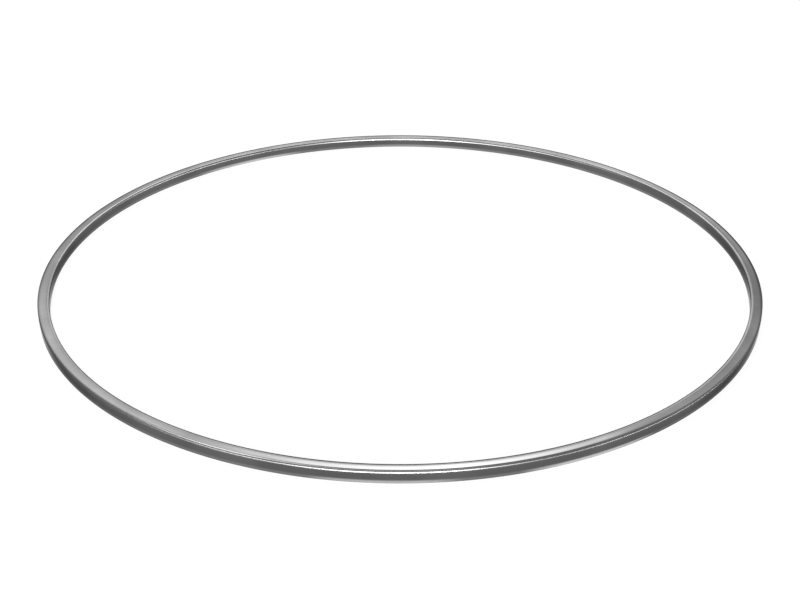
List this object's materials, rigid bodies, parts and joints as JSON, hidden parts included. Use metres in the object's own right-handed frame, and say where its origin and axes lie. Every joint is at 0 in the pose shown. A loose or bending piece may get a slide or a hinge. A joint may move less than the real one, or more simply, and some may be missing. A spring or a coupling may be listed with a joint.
{
  "type": "square-section sealing ring",
  "caption": "Closed rubber sealing ring of near-square section with rounded corners, for sealing a lid, flange or groove.",
  "frame": {"origin": "middle of the ring, on the plane of its underside", "axes": "+Z along the ring's axis, from the underside to the top; X and Y lie in the plane of the ring and are free, because the ring is round"},
  "size_m": [0.2225, 0.2226, 0.0037],
  "materials": {
    "ring_rubber": "smooth moulded, glossy"
  },
  "bodies": {
    "root": {"sealing_ring": "ring_rubber"}
  },
  "joints": []
}
